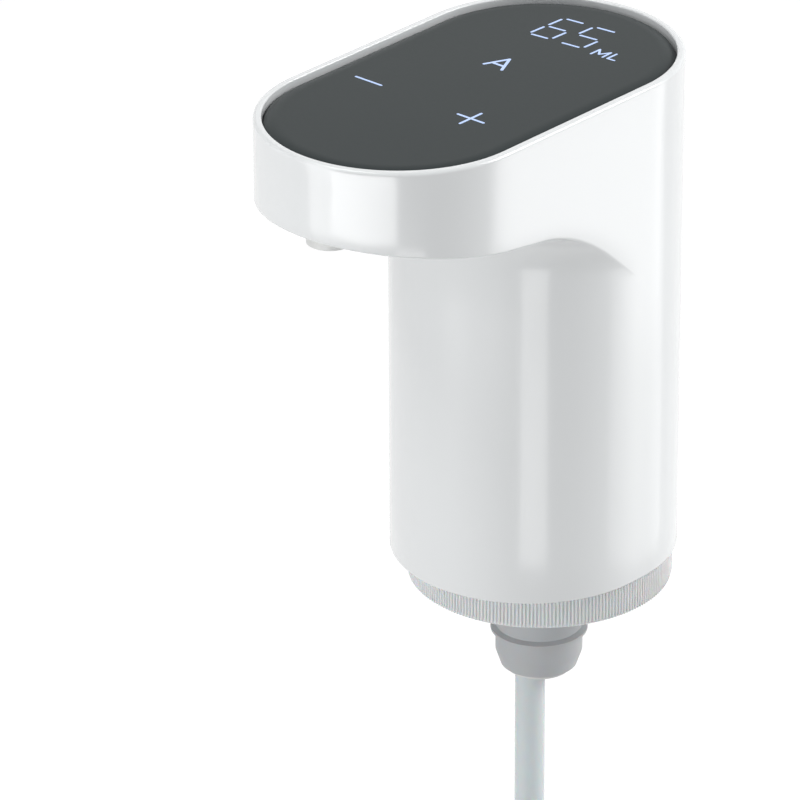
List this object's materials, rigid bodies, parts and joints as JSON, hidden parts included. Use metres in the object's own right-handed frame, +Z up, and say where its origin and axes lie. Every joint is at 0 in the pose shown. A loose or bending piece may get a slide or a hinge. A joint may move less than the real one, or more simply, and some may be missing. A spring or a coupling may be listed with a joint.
{
  "type": "wine preservation dispenser",
  "caption": "Electric wine stopper that seats in a bottle neck, pumps air in and pours wine through a spout under an overhanging head with a touch panel.",
  "frame": {"origin": "on the stopper axis, in the plane where the stopper flange rests on the bottle lip", "axes": "+Z up along the stopper axis, -Y towards the spout, +X to the right as seen from the spout side"},
  "size_m": [0.054, 0.0948, 0.2781],
  "materials": {
    "white_shell": "moulded, polished",
    "dark_lens": "satin touch lens",
    "ribbed_collar": "finely ribbed, slightly translucent",
    "white_plastic": "moulded",
    "dark_plastic": "moulded",
    "black_rubber": "soft",
    "silicone": "food grade silicone",
    "hose_silicone": "soft hose",
    "clear_tube": "food grade tube, milky",
    "board_green": "solder mask",
    "amber_film": "polyimide film",
    "cell_wrap": "shrink wrap",
    "red_wire": "insulated lead",
    "steel": "plain",
    "iron": "sintered or pressed",
    "brass": "plain",
    "copper": "enamelled winding"
  },
  "bodies": {
    "body": {"air_hose": "hose_silicone", "air_inlet_barb": "white_plastic", "base_plate": "white_plastic", "base_screws": "steel", "battery_cell": "cell_wrap", "battery_leads": "red_wire", "battery_pads": "black_rubber", "board_chips": "dark_plastic", "bottle_stopper": "silicone", "chassis": "white_plastic", "chassis_screws": "steel", "check_valve": "silicone", "display_module": "dark_plastic", "drive_leads": "red_wire", "flex_cable": "amber_film", "gland_o_ring": "black_rubber", "housing": "white_shell", "lens_panel": "dark_lens", "lens_seal": "black_rubber", "light_guide": "white_plastic", "main_board": "board_green", "manifold": "white_plastic", "motor_brushes": "brass", "motor_can": "steel", "motor_end_cap": "dark_plastic", "motor_magnets": "iron", "motor_screws": "steel", "outer_tube": "clear_tube", "port_o_rings": "black_rubber", "pump_body": "dark_plastic", "pump_cover": "dark_plastic", "pump_damper": "black_rubber", "pump_diaphragm": "black_rubber", "pump_rocker": "white_plastic", "pump_screws": "steel", "pump_valve_plate": "white_plastic", "solenoid_coil": "copper", "solenoid_spring": "steel", "solenoid_yoke": "iron", "spout": "white_plastic", "spout_screws": "steel", "spout_seal": "black_rubber", "stopper_core": "white_plastic", "touch_board": "board_green", "touch_board_screws": "steel", "touch_springs": "steel", "tube_gland": "white_plastic", "usb_socket": "steel", "vent_valve_seat": "white_plastic", "wine_hose": "hose_silicone"},
    "collar": {"twist_ring": "ribbed_collar"},
    "dip_slide": {"inner_tube": "clear_tube", "tube_foot": "white_plastic"},
    "rotor": {"motor_shaft": "steel", "motor_armature": "iron", "crank": "white_plastic", "crank_pin": "steel"},
    "plunger": {"solenoid_plunger": "iron", "vent_valve_tip": "black_rubber"}
  },
  "joints": [
    {"name": "collar_turn", "type": "hinge", "parent": "body", "child": "collar", "pos_m": [0, 0, 0], "axis": [0, 0, 1], "range_deg": [0, 40]},
    {"name": "tube_extend", "type": "slide", "parent": "body", "child": "dip_slide", "axis": [0, 0, -1], "range_m": [0, 0.115]},
    {"name": "rotor_spin", "type": "hinge", "parent": "body", "child": "rotor", "pos_m": [0.0105, 0.004, 0.071], "axis": [0, 0, 1], "continuous": true},
    {"name": "plunger_lift", "type": "slide", "parent": "body", "child": "plunger", "axis": [0, 0, 1], "range_m": [0, 0.0012], "stiffness_N_per_m": 120, "springref_m": -0.0012, "deforming": ["solenoid_spring"]}
  ]
}
